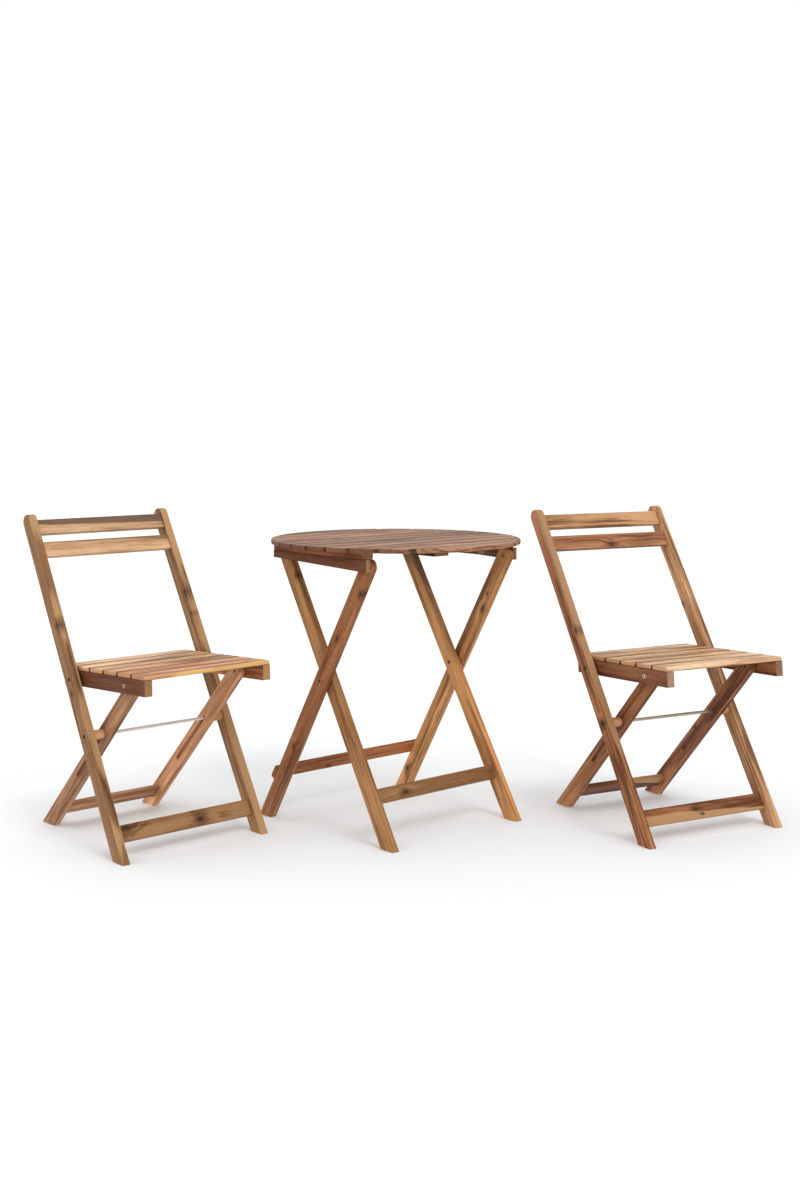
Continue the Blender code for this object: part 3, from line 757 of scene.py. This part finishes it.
def turned(name, profile, place, axis, materials, body):
    """A small turned part: the profile spun about an axis that points out of the wood.

    The second material, if there is one, goes on the socket, as painted shade in its hollow.
    """
    turn = axis.to_track_quat("Z", "Y").to_matrix()
    open_middle = profile[0][0] > 0
    verts, faces, rows = [], [], []
    for radius, height in profile:
        row = []
        count = BOLT_SIDES if radius > 0 else 1
        for i in range(count):
            angle = 2 * pi * i / BOLT_SIDES
            row.append(len(verts))
            point = Vector((radius * cos(angle), radius * sin(angle), height))
            verts.append(place + turn @ point)
        rows.append(row)
    pairs = list(zip(rows, rows[1:]))
    if open_middle:
        pairs.append((rows[-1], rows[0]))
    for low, high in pairs:
        for i in range(BOLT_SIDES):
            j = (i + 1) % BOLT_SIDES
            corners = [low[i % len(low)], low[j % len(low)],
                       high[j % len(high)], high[i % len(high)]]
            faces.append(list(dict.fromkeys(corners)))
    mesh = bpy.data.meshes.new(name)
    mesh.from_pydata(verts, [], faces)
    mesh.polygons.foreach_set("use_smooth", [True] * len(mesh.polygons))
    for material in materials:
        mesh.materials.append(material)
    if len(materials) > 1:
        socket_start = (SOCKET_ROWS - 1) * BOLT_SIDES
        marks = [1 if i >= socket_start else 0 for i in range(len(mesh.polygons))]
        mesh.polygons.foreach_set("material_index", marks)
    mesh.update()
    obj = bpy.data.objects.new(name, mesh)
    bpy.context.scene.collection.objects.link(obj)
    sharp = obj.modifiers.new("crisp", "EDGE_SPLIT")
    sharp.split_angle = CRISP_ANGLE
    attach(obj, body)


def reach_along(name, origin, axis):
    """How far a node goes along an axis, each way from an origin."""
    values = [(vertex.co - origin).dot(axis) for vertex in NODES[name].data.vertices]
    return min(values), max(values)


def joint_place(name):
    """A point on a joint's axis."""
    return Vector(JOINTS[name]["pos_m"])


def fit_chair_bolts(chair, head, socket, collar):
    """Bolts over the rear legs' pivots, and collars round the bores of the posts."""
    across = chair_axis(chair)
    seat_pivot = joint_place(f"{chair}_seat_fold")
    leg_pivot = joint_place(f"{chair}_rear_legs_fold")
    rod_low, rod_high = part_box(f"{chair}_crossing_rod")
    rod = (rod_low + rod_high) / 2
    seat_half = reach_along(f"{chair}_seat_slat_2", leg_pivot, across)[1]
    post_half = reach_along(f"{chair}_post_right", seat_pivot, across)[1]
    for side, out in (("left", -across), ("right", across)):
        turned(f"{chair}_leg_bolt_{side}", BOLT_HEAD, leg_pivot + out * seat_half, out,
               (head, socket), f"{chair}_seat")
        turned(f"{chair}_seat_collar_{side}", BORE_LINER, seat_pivot + out * post_half, out,
               (collar,), f"{chair}_frame")
        turned(f"{chair}_rod_collar_{side}", BORE_LINER, rod + out * post_half, out,
               (collar,), f"{chair}_frame")


def fit_table_bolts(head, socket):
    """Bolts over the tabletop's pivots and the legs' crossings, and collars behind the crossings."""
    across = Vector((1.0, 0.0, 0.0))
    top_pivot = joint_place("tabletop_tilt")
    crossing = joint_place("table_legs_close")
    rail_half = reach_along("table_rail_right", top_pivot, across)[1]
    outer_half = reach_along("table_outer_leg_right", crossing, across)[1]
    inner_half = reach_along("table_inner_leg_right", crossing, across)[0]
    for side, out in (("left", -across), ("right", across)):
        turned(f"table_top_bolt_{side}", BOLT_HEAD, top_pivot + out * rail_half, out,
               (head, socket), "tabletop")
        turned(f"table_leg_bolt_{side}", BOLT_HEAD, crossing + out * outer_half, out,
               (head, socket), "table_outer_frame")
        turned(f"table_leg_collar_{side}", BORE_LINER, crossing + out * inner_half, -out,
               (head,), "table_inner_frame")


def fit_strip(group):
    """The fourth batten under the slats, between the middle and the right one."""
    middle = table_middle()
    low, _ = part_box("table_top_slat_06")
    top = low.z - STRIP_GAP
    verts = [middle + Vector((x, y, 0.0)) for x in STRIP_SIDES for y in STRIP_ENDS]
    corners = [Vector((v.x, v.y, z)) for z in (top - STRIP_THICK, top) for v in verts]
    faces = [(0, 1, 3, 2), (4, 6, 7, 5), (0, 4, 5, 1), (2, 3, 7, 6), (0, 2, 6, 4), (1, 5, 7, 3)]
    mesh = bpy.data.meshes.new("table_strip")
    mesh.from_pydata(corners, [], faces)
    mesh.update()
    obj = bpy.data.objects.new("table_strip", mesh)
    bpy.context.scene.collection.objects.link(obj)
    mesh.materials.append(wood_material(obj, STRIP_CUT, STRIP_SEED, group))
    smooth_shading(obj)
    ease_edges(obj)
    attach(obj, "tabletop")


# Pieces

def ease_edges(obj):
    """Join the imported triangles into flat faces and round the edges, as modifiers."""
    weld = obj.modifiers.new("weld", "WELD")
    weld.merge_threshold = WELD_DISTANCE
    flat = obj.modifiers.new("flat", "DECIMATE")
    flat.decimate_type = "DISSOLVE"
    flat.angle_limit = FLAT_ANGLE
    bevel = obj.modifiers.new("eased", "BEVEL")
    bevel.width = next(width for word, width in EASED_EDGES if word in obj.name)
    bevel.segments = BEVEL_STEPS
    bevel.limit_method = "ANGLE"
    bevel.angle_limit = EDGE_ANGLE
    bevel.harden_normals = True


def smooth_shading(obj):
    """Shade the mesh smooth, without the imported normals."""
    mesh = obj.data
    for name in ("custom_normal", "sharp_face", "sharp_edge"):
        if name in mesh.attributes:
            mesh.attributes.remove(mesh.attributes[name])
    mesh.polygons.foreach_set("use_smooth", [True] * len(mesh.polygons))


def pin_axes(obj):
    """The axes that a pin of this piece may lie on, each a point and a direction."""
    axes = [(Vector(joint["pos_m"]), Vector(joint["axis"]))
            for joint in JOINTS.values() if joint.get("pos_m")]
    if "spacer" in obj.name:
        low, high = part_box(obj.name)
        axes.append(((low + high) / 2, chair_axis(obj.name)))
    return axes


def paint_pins(obj, metal):
    """Give the metal to the faces of the piece that belong to a pin."""
    obj.data.materials.append(metal)
    axes = pin_axes(obj)
    marks = []
    for face in obj.data.polygons:
        corners = [obj.data.vertices[i].co for i in face.vertices]
        on_pin = False
        for point, direction in axes:
            reach = max((corner - point).cross(direction.normalized()).length
                        for corner in corners)
            on_pin = on_pin or reach < PIN_METAL_RADIUS
        marks.append(1 if on_pin else 0)
    obj.data.polygons.foreach_set("material_index", marks)


def finish_nodes(group, metal, rod_metal):
    """Give every piece of the frame its materials and its eased edges."""
    for seed, (name, obj) in enumerate(sorted(NODES.items()), 1):
        obj.data.materials.clear()
        if "crossing_rod" in name:
            obj.data.materials.append(rod_metal[name.split("_crossing")[0]])
            smooth_shading(obj)
            ease_edges(obj)
            continue
        obj.data.materials.append(wood_material(obj, CUTS.get(name, SPACER_CUT), seed, group))
        paint_pins(obj, metal)
        smooth_shading(obj)
        ease_edges(obj)


make_camera()
make_studio()
acacia = wood_group()
pin_steel = metal_material("pin_steel", (0.60, 0.54, 0.48), 0.40)
zinc = metal_material("zinc", (0.86, 0.82, 0.76), 0.28)
copper = metal_material("copper", (0.70, 0.50, 0.38), 0.32)
bronze = metal_material("bronze", (0.20, 0.135, 0.090), 0.42)
# near-black painted shade, for the bolts' sockets and the chairs' collars round the open bores
soot = metal_material("soot", (0.035, 0.022, 0.015), 0.70, 0.0)
finish_nodes(acacia, pin_steel, {
    "left_chair": metal_material("rod_pale", (0.97, 0.87, 0.78), 0.34, 0.0),
    "right_chair": metal_material("rod_brass", (0.60, 0.50, 0.36), 0.32, 0.70),
})
fit_strip(acacia)
fit_table_bolts(bronze, soot)
fit_chair_bolts("left_chair", copper, soot, soot)
fit_chair_bolts("right_chair", zinc, soot, soot)
